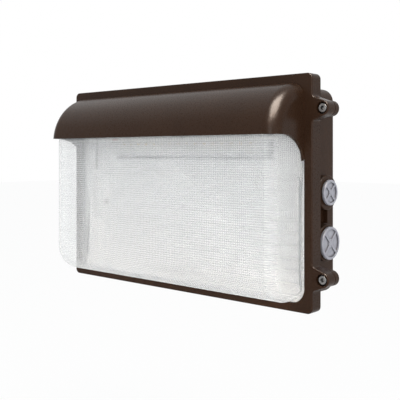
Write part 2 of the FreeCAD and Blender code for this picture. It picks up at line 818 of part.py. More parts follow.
def entry_seal(height, flange_radius, shank_radius):
    """The flat rubber ring between a plug's flange and its boss."""
    ring = rod(flange_radius - seal_setback, V(entry_face, entry_y, height), ACROSS, plug_seal)
    hole = rod(shank_radius + shank_gap, V(entry_face - beyond, entry_y, height), ACROSS,
               plug_seal + 2 * beyond)
    return ring.cut(hole)


def reflector_screw_places():
    return [(sx * reflector_post_x, z) for sx in (-1, 1)
            for z in (reflector_upper_post_z, reflector_lower_post_z)]


def reflector():
    """A folded white sheet with a window for the lamp board and two closed ends."""
    half = case_half - case_rim - reflector_edge_gap
    top = case_half_z - case_rim - reflector_edge_gap
    sheet = reflector_sheet
    bends = [(reflector_rim_depth, top), (reflector_rim_depth, reflector_step_top),
             (reflector_floor_depth, reflector_step_bottom), (reflector_floor_depth, reflector_slope_top),
             (reflector_foot_depth, -top)]
    front_line = [at(d, z) for d, z in bends]
    back_line = [at(d + sheet, z) for d, z in bends]
    body = prism_across(front_line + back_line[::-1], -half, half)
    end_outline = [at(reflector_foot_depth, reflector_step_top)] + front_line[1:]
    for x in (-half, half - sheet):
        body = body.fuse(prism_across(end_outline, x, x + sheet))
    margin = heatsink_half_width + window_gap
    window = block(-margin, margin, y_at(reflector_rim_depth) - beyond, y_at(reflector_floor_depth),
                   heatsink_bottom - window_gap, heatsink_top + window_gap)
    trim = rounded_slab(half, -top, top, y_at(0), 0, case_corner - case_rim - reflector_edge_gap)
    body = body.cut(window).common(trim)
    for x, z in reflector_screw_places():
        body = body.cut(disc_y(medium_screw[0] + screw_hole_gap, x, z, y_at(0), 0))
    return body.removeSplitter()


def reflector_screws():
    length = reflector_hole_depth - screw_end_gap
    return group([pan_screw(medium_screw, x, y_at(reflector_depth(z)), z, length)
                  for x, z in reflector_screw_places()])


def heatsink_screw_places():
    rows = (heatsink_bottom - heatsink_foot / 2, heatsink_top + heatsink_foot / 2)
    return [(sx * heatsink_screw_x, z) for sx in (-1, 1) for z in rows]


def led_heatsink():
    """A bent aluminium channel: a front plate for the lamp board, two webs and two feet on the pads."""
    thick = heatsink_plate
    half = heatsink_half_width
    foot_front = pad_face - thick
    front = block(-half, half, plate_front, plate_front + thick, heatsink_bottom, heatsink_top)
    webs = [block(-half, half, plate_front, pad_face, z0, z0 + thick)
            for z0 in (heatsink_bottom, heatsink_top - thick)]
    feet = [block(-half, half, foot_front, pad_face, z0, z0 + heatsink_foot + overlap)
            for z0 in (heatsink_bottom - heatsink_foot, heatsink_top - overlap)]
    body = front.multiFuse(webs + feet)
    for x, z in heatsink_screw_places():
        body = body.cut(disc_y(medium_screw[0] + screw_hole_gap, x, z, foot_front - beyond,
                               pad_face + beyond))
    for x, z in board_screw_places():
        body = body.cut(disc_y(small_screw[0], x, z, plate_front - beyond, plate_front + thick + beyond))
    return body.removeSplitter()


def heatsink_screws():
    return group([pan_screw(medium_screw, x, pad_face - heatsink_plate, z, heatsink_plate + pad_screw_reach)
                  for x, z in heatsink_screw_places()])


def board_screw_places():
    return [(x, z) for x in board_screw_columns for z in board_screw_rows]


def led_board():
    """The lamp board, a plain plate on the front of the heat sink."""
    half = heatsink_half_width - board_edge
    front = y_at(board_depth)
    body = block(-half, half, front, plate_front, heatsink_bottom + board_edge, heatsink_top - board_edge)
    for x, z in board_screw_places():
        body = body.cut(disc_y(small_screw[0] + screw_hole_gap, x, z, front - beyond, plate_front + beyond))
    return body


def led_chips():
    """The lamp chips in rows on the board."""
    first = -(chip_columns - 1) / 2 * chip_pitch
    back = y_at(board_depth)
    side = chip_size / 2
    places = [(first + i * chip_pitch, row) for row in chip_rows for i in range(chip_columns)]
    return group([block(x - side, x + side, back - chip_height, back, z - side, z + side) for x, z in places])


def board_screws():
    return group([pan_screw(small_screw, x, y_at(board_depth), z, board_thickness + heatsink_plate)
                  for x, z in board_screw_places()])


def driver_screw_places():
    return [(x, supply_height) for x in (driver_left - driver_tab / 2, driver_right + driver_tab / 2)]


def led_driver():
    """The sealed power supply: a can with a screw tab at each end."""
    z = supply_height
    half = driver_height / 2
    can = block(driver_left, driver_right, pad_face - driver_depth, pad_face, z - half, z + half)
    can = can.makeFillet(driver_corner, [e for e in can.Edges if abs(e.CenterOfMass.y - pad_face) > near])
    tab_front = pad_face - driver_tab_thickness
    strap = block(driver_left - driver_tab, driver_right + driver_tab, tab_front, pad_face, z - half / 2,
                  z + half / 2)
    body = can.fuse(strap)
    for sx, sz in driver_screw_places():
        body = body.cut(disc_y(medium_screw[0] + screw_hole_gap, sx, sz, tab_front - beyond,
                               pad_face + beyond))
    return body.removeSplitter()


def driver_screws():
    return group([pan_screw(medium_screw, x, pad_face - driver_tab_thickness, z,
                            driver_tab_thickness + pad_screw_reach) for x, z in driver_screw_places()])


def terminal_pole_heights():
    pitch = terminal_size[2] / terminal_poles
    return [terminal_centre[1] + (i - (terminal_poles - 1) / 2) * pitch for i in range(terminal_poles)]


def terminal_block():
    """A screw terminal block: a funnel and a wire hole at both sides of each pole."""
    length, deep, tall = terminal_size
    x, z = terminal_centre
    front = pad_face - deep
    middle = pad_face - deep / 2
    body = block(x - length / 2, x + length / 2, front, pad_face, z - tall / 2, z + tall / 2)
    for height in terminal_pole_heights():
        for sx in (-1, 1):
            body = body.cut(disc_y(clamp_funnel, x + sx * length / 4, height, front - beyond,
                                   front + clamp_hole_depth))
            mouth = V(x + sx * (length / 2 + beyond), middle, height)
            body = body.cut(rod(lead_radius + lead_gap, mouth, ACROSS * -sx, wire_hole_depth + beyond))
    body = body.cut(disc_y(medium_screw[1] + holding_head_gap, x, z, front - beyond, holding_seat))
    return body.cut(disc_y(medium_screw[0] + screw_hole_gap, x, z, front - beyond, pad_face + beyond))


def terminal_screws():
    """The six clamping screws and the one that holds the block down."""
    length, deep, tall = terminal_size
    x, z = terminal_centre
    front = pad_face - deep + clamp_sunk
    made = [pan_screw(medium_screw, x, holding_seat, z, pad_face - holding_seat + pad_screw_reach)]
    for height in terminal_pole_heights():
        for sx in (-1, 1):
            clamp_x = x + sx * length / 4
            clamp = disc_y(clamp_radius, clamp_x, height, front, pad_face - deep + clamp_hole_depth)
            slot = block(clamp_x - slot_width / 2, clamp_x + slot_width / 2, front - beyond,
                         front + slot_width, height - clamp_funnel, height + clamp_funnel)
            made.append(clamp.cut(slot))
    return group(made)


def ground_screw():
    x, z = ground_place
    return pan_screw(medium_screw, x, pad_face - ground_tag, z, ground_tag + pad_screw_reach)


def lead(points, radius):
    """A round wire along straight runs joined by tangent arcs."""
    edges = []
    last = points[0]
    for before, corner, after in zip(points, points[1:], points[2:]):
        into = (corner - before).normalize()
        out = (after - corner).normalize()
        half_turn = into.getAngle(out) / 2
        trim = lead_bend_share * min((corner - before).Length, (after - corner).Length)
        bend = trim / math.tan(half_turn)
        start = corner - into * trim
        end = corner + out * trim
        inward = (out - into).normalize()
        edges.append(line(last, start))
        edges.append(arc(start, corner + inward * (bend / math.cos(half_turn) - bend), end))
        last = end
    edges.append(line(last, points[-1]))
    circle = Part.Circle(points[0], (points[1] - points[0]).normalize(), radius)
    return Part.Wire(edges).makePipeShell([Part.Wire([circle.toShape()])], True, False)


def led_leads():
    """Two wires from the driver's left end, up behind the reflector and round the heat sink to the board."""
    middle = pad_face - driver_depth / 2
    side = -(heatsink_half_width + window_gap + wire_run * 0.6)
    over = -(heatsink_half_width + window_gap / 2)
    face = y_at(board_depth) - lead_radius - lead_touch
    turn = y_at(reflector_rim_depth) + wire_bow
    made = []
    for sz, z1 in zip((-1, 1), board_screw_rows):
        z0 = supply_height + sz * chip_row_pitch / 2
        points = [V(driver_left, middle, z0), V(side + wire_run, middle, z0),
                  V(side, middle - wire_bow / 2, z0 + wire_run),
                  V(side, middle - wire_bow * 0.7, wire_run / 2),
                  V(side, middle - wire_bow * 1.3, z1 - wire_run),
                  V(side + wire_bow, middle - wire_run, z1),
                  V(over, turn, z1 + wire_bow / 3), V(over, face - wire_bow / 2, z1),
                  V(over + wire_run * 0.8, face, z1)]
        made.append(lead(points, lead_radius))
    return group(made)


def supply_leads():
    """Three wires from the driver's right end to the terminal block."""
    x1 = driver_right + driver_terminal_gap + wire_in_block
    y0 = pad_face - driver_depth / 2 - wire_bow
    y1 = pad_face - terminal_size[1] / 2
    made = []
    for height in terminal_pole_heights():
        start = V(driver_right, y0, supply_height + (height - supply_height) * 0.6)
        bow = wire_bow if height >= supply_height else -wire_bow
        points = [start, start + V(wire_run, 0, 0),
                  V(driver_right + 2 * wire_run, (y0 + y1 - wire_bow) / 2, height + bow),
                  V(x1 - wire_run, y1, height), V(x1, y1 + lead_touch, height)]
        made.append(lead(points, lead_radius))
    return group(made)


def ground_lead():
    """One wire from the terminal block to a ring tag under the ground screw."""
    x0 = terminal_centre[0] + terminal_size[0] / 2 - wire_in_block
    y0 = pad_face - terminal_size[1] / 2
    height = terminal_pole_heights()[0]
    gx, gz = ground_place
    tag_y = pad_face - ground_tag
    tag_radius = ground_tag_radius
    points = [V(x0, y0, height), V(x0 + 2.2 * wire_in_block, y0, height),
              V((x0 + gx) / 2 + lead_radius, (y0 + tag_y) / 2, height - lead_radius),
              V(gx - 2.9 * tag_radius, tag_y - 1.1 * lead_radius, gz - 0.2 * tag_radius),
              V(gx - 1.5 * tag_radius, tag_y - 0.5 * lead_radius, gz - 0.1 * tag_radius)]
    tag = disc_y(tag_radius, gx, gz, tag_y, pad_face)
    neck = block(gx - 2 * tag_radius, gx - 0.7 * tag_radius, tag_y, pad_face, gz - 0.4 * tag_radius,
                 gz + 0.35 * tag_radius)
    tag = tag.fuse(neck).cut(disc_y(medium_screw[0] + screw_hole_gap, gx, gz, tag_y - beyond,
                                    pad_face + beyond))
    return lead(points, lead_radius).fuse(tag).removeSplitter()


def all_parts():
    z = ear_height
    return {
        "back_housing": back_housing(),
        "upper_hinge_pin": hinge_pin(z),
        "lower_hinge_pin": hinge_pin(-z),
        "reflector": reflector(),
        "reflector_screws": reflector_screws(),
        "led_heatsink": led_heatsink(),
        "heatsink_screws": heatsink_screws(),
        "led_board": led_board(),
        "led_chips": led_chips(),
        "board_screws": board_screws(),
        "led_driver": led_driver(),
        "driver_screws": driver_screws(),
        "terminal_block": terminal_block(),
        "terminal_screws": terminal_screws(),
        "ground_screw": ground_screw(),
        "led_leads": led_leads(),
        "supply_leads": supply_leads(),
        "ground_lead": ground_lead(),
        "door_frame": door_frame(),
        "lens": lens(),
        "lens_gasket": lens_gasket(),
        "lens_retainer": lens_retainer(),
        "retainer_screws": retainer_screws(),
        "door_gasket": door_gasket(),
        "upper_screw_washer": screw_washer(z),
        "lower_screw_washer": screw_washer(-z),
        "upper_door_screw": door_screw(z),
        "lower_door_screw": door_screw(-z),
        "upper_entry_seal": entry_seal(upper_entry_height, upper_plug_radius, upper_shank_radius),
        "lower_entry_seal": entry_seal(lower_entry_height, lower_plug_radius, lower_shank_radius),
        "upper_conduit_plug": conduit_plug(upper_entry_height, upper_plug_radius, upper_shank_radius),
        "lower_conduit_plug": conduit_plug(lower_entry_height, lower_plug_radius, lower_shank_radius),
    }


os.makedirs("parts", exist_ok=True)
for name, shape in all_parts().items():
    shape.exportStep("parts/" + name + ".step")
    print(name, "solids", len(shape.Solids), "valid", shape.isValid(), "volume", round(shape.Volume, 1))
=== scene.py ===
import math
import bmesh
import bpy
from mathutils import Matrix, Vector


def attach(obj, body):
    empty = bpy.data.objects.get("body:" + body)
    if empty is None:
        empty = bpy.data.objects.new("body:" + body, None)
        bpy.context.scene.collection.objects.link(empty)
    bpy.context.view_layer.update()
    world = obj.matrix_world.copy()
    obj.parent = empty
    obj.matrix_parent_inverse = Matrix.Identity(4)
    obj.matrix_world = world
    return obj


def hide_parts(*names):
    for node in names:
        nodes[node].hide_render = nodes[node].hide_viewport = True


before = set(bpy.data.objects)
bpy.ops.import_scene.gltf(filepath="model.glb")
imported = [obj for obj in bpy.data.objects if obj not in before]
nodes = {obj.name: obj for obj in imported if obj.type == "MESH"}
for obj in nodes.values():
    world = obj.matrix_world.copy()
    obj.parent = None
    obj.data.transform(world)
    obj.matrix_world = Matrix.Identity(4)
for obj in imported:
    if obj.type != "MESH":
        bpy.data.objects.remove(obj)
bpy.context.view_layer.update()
scene = bpy.context.scene
scene.view_settings.view_transform = "Standard"

cameraSetup = {"place": (0.543, -0.6367, 0.039), "toward": (-0.6626, 0.749, 0.0), "lens": 62.28,
               "sensor": 36.0, "shiftUp": -0.11675, "nearest": 0.01}

cameraData = bpy.data.cameras.new("frontRightCamera")
cameraData.lens = cameraSetup["lens"]
cameraData.sensor_width = cameraSetup["sensor"]
cameraData.shift_y = cameraSetup["shiftUp"]
cameraData.clip_start = cameraSetup["nearest"]
cameraObject = bpy.data.objects.new("frontRightCamera", cameraData)
cameraObject.location = cameraSetup["place"]
cameraObject.rotation_euler = Vector(cameraSetup["toward"]).to_track_quat("-Z", "Y").to_euler()
scene.collection.objects.link(cameraObject)
scene.camera = cameraObject
print("camera ready")


def addNode(tree, kind, **settings):
    node = tree.nodes.new(kind)
    for key, value in settings.items():
        setattr(node, key, value)
    return node


def setInputs(node, **values):
    for key, value in values.items():
        node.inputs[key.replace("_", " ")].default_value = value
    return node


def feed(tree, socket, value):  # links another node's output, or sets a plain value
    if isinstance(value, bpy.types.NodeSocket):
        tree.links.new(value, socket)
    else:
        socket.default_value = value


def mathNode(tree, operation, first, second):
    node = addNode(tree, "ShaderNodeMath", operation=operation)
    feed(tree, node.inputs[0], first)
    feed(tree, node.inputs[1], second)
    return node.outputs[0]


def mapRange(tree, value, start, end, span=(0.0, 1.0)):
    node = setInputs(addNode(tree, "ShaderNodeMapRange"), From_Min=span[0], From_Max=span[1],
                     To_Min=start, To_Max=end)
    feed(tree, node.inputs["Value"], value)
    return node.outputs["Result"]


def mixColors(tree, factor, first, second):
    node = addNode(tree, "ShaderNodeMix", data_type="RGBA")
    feed(tree, node.inputs[0], factor)
    feed(tree, node.inputs[6], first)
    feed(tree, node.inputs[7], second)
    return node.outputs[2]


def mixShaders(tree, factor, first, second):
    node = addNode(tree, "ShaderNodeMixShader")
    feed(tree, node.inputs["Fac"], factor)
    feed(tree, node.inputs[1], first)
    feed(tree, node.inputs[2], second)
    return node.outputs["Shader"]


def rgba(color):
    return (color[0], color[1], color[2], 1.0)


def emptyMaterial(name):
    material = bpy.data.materials.new(name)
    material.use_nodes = True
    material.node_tree.nodes.clear()
    return material, material.node_tree


def paintedMaterial(name):
    material, tree = emptyMaterial(name)
    output = addNode(tree, "ShaderNodeOutputMaterial")
    shader = addNode(tree, "ShaderNodeBsdfPrincipled")
    tree.links.new(shader.outputs["BSDF"], output.inputs["Surface"])
    return material, tree, shader


noiseSetup = {"roughness": 0.55, "span": (0.3, 0.7), "patchSize": 0.03, "patchDetail": 5.0,
              "grainDetail": 3.0, "bumpStrength": 0.5}


def grainPattern(tree, size, detail, stretch=None):
    source = addNode(tree, "ShaderNodeTexCoord").outputs["Object"]
    if stretch:  # a long grain along one axis
        mapping = addNode(tree, "ShaderNodeMapping")
        mapping.inputs["Scale"].default_value = stretch
        tree.links.new(source, mapping.inputs["Vector"])
        source = mapping.outputs["Vector"]
    noise = setInputs(addNode(tree, "ShaderNodeTexNoise"), Scale=1.0 / size, Detail=detail,
                      Roughness=noiseSetup["roughness"])
    tree.links.new(source, noise.inputs["Vector"])
    return noise.outputs["Fac"]


def toneRamp(tree, pattern, look, span):  # from the look's color to its tint, over a span of the pattern
    ramp = addNode(tree, "ShaderNodeValToRGB")
    for element, position, color in zip(ramp.color_ramp.elements, span, (look["color"], look["tint"])):
        element.position = position
        element.color = rgba(color)
    tree.links.new(pattern, ramp.inputs["Fac"])
    return ramp.outputs["Color"]


def bumpNormal(tree, pattern, height):
    bump = setInputs(addNode(tree, "ShaderNodeBump"), Strength=noiseSetup["bumpStrength"], Distance=height)
    tree.links.new(pattern, bump.inputs["Height"])
    return bump.outputs["Normal"]


def paintRecessShade(tree, color, look):  # paints shade into the color in narrow corners and recesses, where ambient occlusion finds them
    recess = look["recess"]
    corners = addNode(tree, "ShaderNodeAmbientOcclusion", samples=recess["samples"])
    corners.inputs["Distance"].default_value = recess["reach"]
    openness = mathNode(tree, "POWER", corners.outputs["AO"], recess["fall"])
    return mixColors(tree, openness, rgba([share * recess["shade"] for share in look["color"]]), color)


def surfaceMaterial(name, look):
    material, tree, shader = paintedMaterial(name)
    patches = grainPattern(tree, look.get("patchSize", noiseSetup["patchSize"]), noiseSetup["patchDetail"])
    color = toneRamp(tree, patches, look, noiseSetup["span"])
    # painted shade in recesses, from ambient occlusion
    if "recess" in look:
        color = paintRecessShade(tree, color, look)
    tree.links.new(color, shader.inputs["Base Color"])
    grain = grainPattern(tree, look["grainSize"], noiseSetup["grainDetail"], look.get("stretch"))
    smoothest, roughest = look["roughness"]
    tree.links.new(mapRange(tree, grain, smoothest, roughest, noiseSetup["span"]), shader.inputs["Roughness"])
    tree.links.new(bumpNormal(tree, grain, look["grainHeight"]), shader.inputs["Normal"])
    for key, value in look.get("sockets", {}).items():
        shader.inputs[key].default_value = value
    return material


bronzePaint = {"color": (0.0275, 0.0128, 0.0067), "tint": (0.0335, 0.0158, 0.0082), "patchSize": 0.05,
               "grainSize": 0.0011, "grainHeight": 0.000022, "roughness": (0.25, 0.32),
               "sockets": {"Specular IOR Level": 0.10}}
castPaint = dict(bronzePaint, grainSize=0.0020, grainHeight=0.00022, roughness=(0.34, 0.46))
whiteEnamel = {"color": (0.86, 0.86, 0.85), "tint": (0.90, 0.90, 0.89), "grainSize": 0.0012,
               "grainHeight": 0.00003, "roughness": (0.25, 0.35)}
zincSteel = {"color": (0.40, 0.40, 0.39), "tint": (0.52, 0.51, 0.49), "patchSize": 0.004, "grainSize": 0.0004,
             "grainHeight": 0.00001, "roughness": (0.22, 0.34), "sockets": {"Metallic": 1.0}}
# the door screws' hex sockets get painted shade from ambient occlusion
doorScrewSteel = dict(zincSteel, color=(0.17, 0.17, 0.17), tint=(0.25, 0.25, 0.25), roughness=(0.30, 0.42),
                      recess={"reach": 0.0016, "fall": 2.0, "shade": 0.12, "samples": 8})
millAluminium = {"color": (0.74, 0.75, 0.76), "tint": (0.82, 0.82, 0.82), "grainSize": 0.0006,
                 "stretch": (0.05, 1.0, 1.0), "grainHeight": 0.00002, "roughness": (0.30, 0.42),
                 "sockets": {"Metallic": 1.0}}
blackRubber = {"color": (0.014, 0.014, 0.014), "tint": (0.022, 0.022, 0.021), "grainSize": 0.0008,
               "grainHeight": 0.00005, "roughness": (0.62, 0.78)}
paleRubber = {"color": (0.66, 0.66, 0.62), "tint": (0.74, 0.74, 0.70), "grainSize": 0.0008,
              "grainHeight": 0.00005, "roughness": (0.60, 0.75)}
boardMask = {"color": (0.80, 0.80, 0.76), "tint": (0.86, 0.86, 0.82), "patchSize": 0.01, "grainSize": 0.0006,
             "grainHeight": 0.00001, "roughness": (0.30, 0.40)}
chipPhosphor = {"color": (0.80, 0.52, 0.10), "tint": (0.88, 0.62, 0.16), "patchSize": 0.002,
                "grainSize": 0.0004, "grainHeight": 0.00002, "roughness": (0.30, 0.42)}
driverShell = {"color": (0.045, 0.045, 0.048), "tint": (0.060, 0.060, 0.062), "grainSize": 0.0010,
               "grainHeight": 0.00005, "roughness": (0.48, 0.60)}
terminalNylon = {"color": (0.70, 0.68, 0.58), "tint": (0.76, 0.74, 0.64), "grainSize": 0.0010,
                 "grainHeight": 0.00002, "roughness": (0.40, 0.50)}
redSleeve = {"color": (0.42, 0.03, 0.025), "tint": (0.50, 0.04, 0.03), "grainSize": 0.0010,
             "grainHeight": 0.00002, "roughness": (0.36, 0.46)}
greenSleeve = {"color": (0.03, 0.26, 0.07), "tint": (0.04, 0.32, 0.09), "grainSize": 0.0010,
               "grainHeight": 0.00002, "roughness": (0.36, 0.46)}
greyPlug = {"color": (0.29, 0.29, 0.33), "tint": (0.36, 0.36, 0.40), "patchSize": 0.006, "grainSize": 0.0012,
            "grainHeight": 0.00004, "roughness": (0.34, 0.46),
            # painted shade in the plug's relief, from ambient occlusion
            "recess": {"reach": 0.0030, "fall": 2.5, "shade": 0.12, "samples": 8},
            "sockets": {"Subsurface Weight": 0.35, "Subsurface Radius": (1.0, 0.9, 1.0),
                        "Subsurface Scale": 0.002}}

finishes = {  # each look with the nodes that wear it
    "bronzePaint": (bronzePaint, ["door_frame"]),
    "castPaint": (castPaint, ["back_housing"]),
    "whiteEnamel": (whiteEnamel, ["reflector", "lens_retainer"]),
    "zincSteel": (zincSteel, ["upper_hinge_pin", "lower_hinge_pin", "reflector_screws", "heatsink_screws",
                              "board_screws", "driver_screws", "terminal_screws", "ground_screw",
                              "retainer_screws"]),
    "doorScrewSteel": (doorScrewSteel, ["upper_door_screw", "lower_door_screw"]),
    "millAluminium": (millAluminium, ["led_heatsink"]),
    "blackRubber": (blackRubber, ["door_gasket", "upper_screw_washer", "lower_screw_washer",
                                  "upper_entry_seal", "lower_entry_seal"]),
    "paleRubber": (paleRubber, ["lens_gasket"]),
    "boardMask": (boardMask, ["led_board"]),
    "chipPhosphor": (chipPhosphor, ["led_chips"]),
    "driverShell": (driverShell, ["led_driver"]),
    "terminalNylon": (terminalNylon, ["terminal_block"]),
    "redSleeve": (redSleeve, ["led_leads", "supply_leads"]),
    "greenSleeve": (greenSleeve, ["ground_lead"]),
    "greyPlug": (greyPlug, ["upper_conduit_plug", "lower_conduit_plug"]),
}
materials = {}
for finishName, (look, wearers) in finishes.items():
    materials[finishName] = surfaceMaterial(finishName, look)
    for nodeName in wearers:
        nodes[nodeName].data.materials.clear()
        nodes[nodeName].data.materials.append(materials[finishName])
print("finishes on", sum(len(wearers) for look, wearers in finishes.values()), "carried-over nodes")


lensBowl = {"halfWidth": 0.1675, "bottom": -0.1068, "front": -0.108, "back": -0.0595, "bottomRound": 0.033,
            "endRound": 0.012, "topPivot": (-0.058, 0.0525), "topRadius": 0.050, "wall": 0.0035,
            "flangeBack": -0.0555, "flangeHalf": 0.1744, "flangeBottom": -0.1109, "flangeTop": 0.1081,
            "ribHeight": 0.00045, "plainBand": 0.0040, "weldReach": 1e-6,
            "endShare": 0.50,  # rib height at the end walls, as a share of the front's
            "outerSteps": {"side": 13, "round": 44, "front": 107, "top": 16, "across": 264, "end": 16},
            "innerSteps": {"side": 3, "round": 14, "front": 2, "top": 14, "across": 2, "end": 10}}


def lensRows(bowl, inset, steps):
    rows = []  # y, z and outward direction of each row, and the part of the bowl it's in
    lowY = bowl["front"] + bowl["bottomRound"]
    lowZ = bowl["bottom"] + bowl["bottomRound"]
    radius = bowl["bottomRound"] - inset
    pivotY, pivotZ = bowl["topPivot"]
    topRadius = bowl["topRadius"] - inset
    backY = bowl["flangeBack"] if inset else bowl["back"]
    for i in range(steps["side"]):
        share = i / steps["side"]
        rows.append((backY + (lowY - backY) * share, bowl["bottom"] + inset, 0.0, -1.0, "side"))
    for i in range(steps["round"]):
        turn = math.pi / 2 * i / steps["round"]
        outY, outZ = -math.sin(turn), -math.cos(turn)
        rows.append((lowY + outY * radius, lowZ + outZ * radius, outY, outZ, "round"))
    for i in range(steps["front"]):
        rows.append((bowl["front"] + inset, lowZ + (pivotZ - lowZ) * i / steps["front"], -1.0, 0.0, "front"))
    for i in range(steps["top"] + 1):
        turn = math.pi / 2 * i / steps["top"]
        outY, outZ = -math.cos(turn), math.sin(turn)
        rows.append((pivotY + outY * topRadius, pivotZ + outZ * topRadius, outY, outZ, "top"))
    y, z, outY, outZ, part = rows[-1]
    rows[-1] = (backY, z, 0.0, 1.0, part)
    return rows


def lensRow(bowl, inset, steps, row):
    # One row's points from its right edge to its left one, each as its place, its count of ribs across and
    # 1 where ribs run along it; and how many of them stand on the right end wall.
    y, z, outY, outZ, part = row
    half = bowl["halfWidth"] - inset
    endRound = bowl["endRound"] - inset
    flat = half - endRound
    backY = bowl["flangeBack"] if inset else bowl["back"]
    innerY, innerZ = y - outY * endRound, z - outZ * endRound
    wall = []
    if part != "side":
        for j in range(steps["side"]):
            wallY = backY + (innerY - backY) * j / steps["side"]
            wall.append((wallY, 1 if wallY < bowl["back"] - bowl["plainBand"] else 0))

    def roundPoint(side, turn):
        fall = endRound * (1 - math.cos(turn))
        return ((side * (flat + endRound * math.sin(turn)), y - outY * fall, z - outZ * fall), 0, 1)

    quarter = math.pi / 2
    points = [((half, wallY, innerZ), 0, up) for wallY, up in wall]
    points += [roundPoint(1, quarter * (1 - k / steps["end"])) for k in range(steps["end"])]
    points += [((flat - 2 * flat * k / steps["across"], y, z), k, 1) for k in range(steps["across"] + 1)]
    points += [roundPoint(-1, quarter * k / steps["end"]) for k in range(1, steps["end"] + 1)]
    points += [((-half, wallY, innerZ), 0, up) for wallY, up in reversed(wall)]
    return points, len(wall)


def lensSkin(mesh, bowl, inset, steps):  # adds one skin of the bowl, with its rib counts in two vertex layers
    acrossLayer = mesh.verts.layers.float["ribsAcross"]
    upLayer = mesh.verts.layers.float["ribsUp"]
    grid = []
    for count, row in enumerate(lensRows(bowl, inset, steps)):
        points, wallCount = lensRow(bowl, inset, steps, row)
        columns = {}  # a column keeps its number from row to row, also where a row has no end walls
        for number, (place, across, up) in enumerate(points):
            vert = mesh.verts.new(place)
            vert[acrossLayer] = across
            vert[upLayer] = count * up
            columns[number - wallCount + steps["side"]] = vert
        grid.append(columns)
    fresh = [vert for columns in grid for vert in columns.values()]
    for low, high in zip(grid, grid[1:]):
        for number in sorted(low):
            corners = [low.get(number), low.get(number + 1), high.get(number + 1), high.get(number)]
            if None not in corners:
                mesh.faces.new(corners)
    bmesh.ops.remove_doubles(mesh, verts=fresh, dist=bowl["weldReach"])


def openEdges(mesh):
    return [edge for edge in mesh.edges if edge.is_boundary]


def pulledOut(mesh, edges, move):  # extrudes open edges into a ring of faces and returns the new open edges
    made = bmesh.ops.extrude_edge_only(mesh, edges=edges)["geom"]
    for vert in made:
        if isinstance(vert, bmesh.types.BMVert):
            vert.co = move(vert.co)
    return [edge for edge in made if isinstance(edge, bmesh.types.BMEdge)]


def lensMesh(bowl):  # the closed glass: outer skin, flange and inner skin
    mesh = bmesh.new()
    mesh.verts.layers.float.new("ribsAcross")
    mesh.verts.layers.float.new("ribsUp")
    outsideLayer = mesh.verts.layers.float.new("outside")
    lensSkin(mesh, bowl, 0.0, bowl["outerSteps"])
    flat = bowl["halfWidth"] - bowl["endRound"]
    for vert in mesh.verts:  # the prisms fade out round the ends
        past = max(abs(vert.co.x) - flat, 0.0) / bowl["endRound"]
        vert[outsideLayer] = 1.0 - (1.0 - bowl["endShare"]) * past
    top = bowl["topPivot"][1] + bowl["topRadius"]
    middle = (top + bowl["bottom"]) / 2
    flangeMiddle = (bowl["flangeTop"] + bowl["flangeBottom"]) / 2
    wider = bowl["flangeHalf"] / bowl["halfWidth"]
    taller = (bowl["flangeTop"] - bowl["flangeBottom"]) / (top - bowl["bottom"])

    def toFlange(place):
        return Vector((place.x * wider, bowl["back"], flangeMiddle + (place.z - middle) * taller))

    rim = pulledOut(mesh, openEdges(mesh), toFlange)
    pulledOut(mesh, rim, lambda place: Vector((place.x, bowl["flangeBack"], place.z)))
    outerFaces = len(mesh.faces)
    lensSkin(mesh, bowl, bowl["wall"], bowl["innerSteps"])
    bmesh.ops.bridge_loops(mesh, edges=openEdges(mesh))
    bmesh.ops.recalc_face_normals(mesh, faces=mesh.faces[:])
    mesh.faces.ensure_lookup_table()
    for number, face in enumerate(mesh.faces):  # the prisms stay sharp and the inner skin is smooth
        face.smooth = number >= outerFaces
    done = bpy.data.meshes.new("lensGlass")
    mesh.to_mesh(done)
    mesh.free()
    return done


def growthTree(name, titles, takesMesh=False):  # an empty node tree with one number input for each title
    tree = bpy.data.node_groups.new(name, "GeometryNodeTree")
    if takesMesh:
        tree.interface.new_socket(name="Geometry", in_out="INPUT", socket_type="NodeSocketGeometry")
    sockets = {}
    for title in titles:
        socket = tree.interface.new_socket(name=title, in_out="INPUT", socket_type="NodeSocketFloat")
        sockets[title] = socket.identifier
    tree.interface.new_socket(name="Geometry", in_out="OUTPUT", socket_type="NodeSocketGeometry")
    return tree, sockets, tree.nodes.new("NodeGroupInput")


def endTree(tree, geometry, material):
    realize = tree.nodes.new("GeometryNodeRealizeInstances")
    tree.links.new(geometry, realize.inputs["Geometry"])
    paint = tree.nodes.new("GeometryNodeSetMaterial")
    paint.inputs["Material"].default_value = material
    tree.links.new(realize.outputs["Geometry"], paint.inputs["Geometry"])
    tree.links.new(paint.outputs["Geometry"], tree.nodes.new("NodeGroupOutput").inputs["Geometry"])


def grown(thing, tree, values):  # runs a node tree on an object and keeps its result as a plain mesh
    modifier = thing.modifiers.new("grow", "NODES")
    modifier.node_group = tree
    for identifier, value in values.items():
        modifier[identifier] = value
    graph = bpy.context.evaluated_depsgraph_get()
    mesh = bpy.data.meshes.new_from_object(thing.evaluated_get(graph), preserve_all_data_layers=True,
                                           depsgraph=graph)
    thing.modifiers.remove(modifier)
    old = thing.data
    thing.data = mesh
    bpy.data.meshes.remove(old)


def layerValue(tree, layer):
    node = addNode(tree, "GeometryNodeInputNamedAttribute", data_type="FLOAT")
    node.inputs["Name"].default_value = layer
    return node.outputs["Attribute"]


